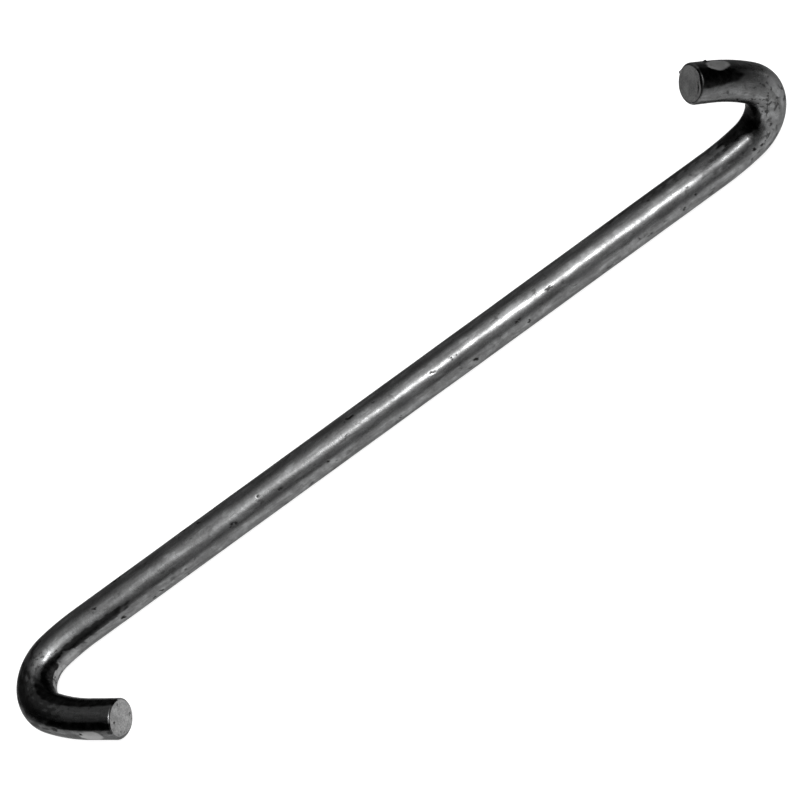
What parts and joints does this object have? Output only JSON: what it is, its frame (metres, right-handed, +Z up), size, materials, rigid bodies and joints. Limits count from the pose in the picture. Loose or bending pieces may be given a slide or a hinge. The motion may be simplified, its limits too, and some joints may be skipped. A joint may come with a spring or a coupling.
{
  "type": "double-ended hooked rod",
  "caption": "Round steel bar bent into an open hook at each end, the hooks a quarter turn apart, with plain cropped ends; used as a tie, peg or link.",
  "frame": {"origin": "on the ground plane under the middle of the bar's bounding box, with the bar lying as it rests", "axes": "+X along the straight shank toward the hook that stands up, +Y away from the side that the flat hook turns to, +Z up from the ground"},
  "size_m": [0.2286, 0.0378, 0.036],
  "materials": {
    "bar_steel": "dark rolled steel with a thin oiled oxide skin, worn semi-gloss, small pits and draw lines; bare grey metal on the cropped ends"
  },
  "bodies": {
    "root": {"hooked_bar": "bar_steel"}
  },
  "joints": []
}
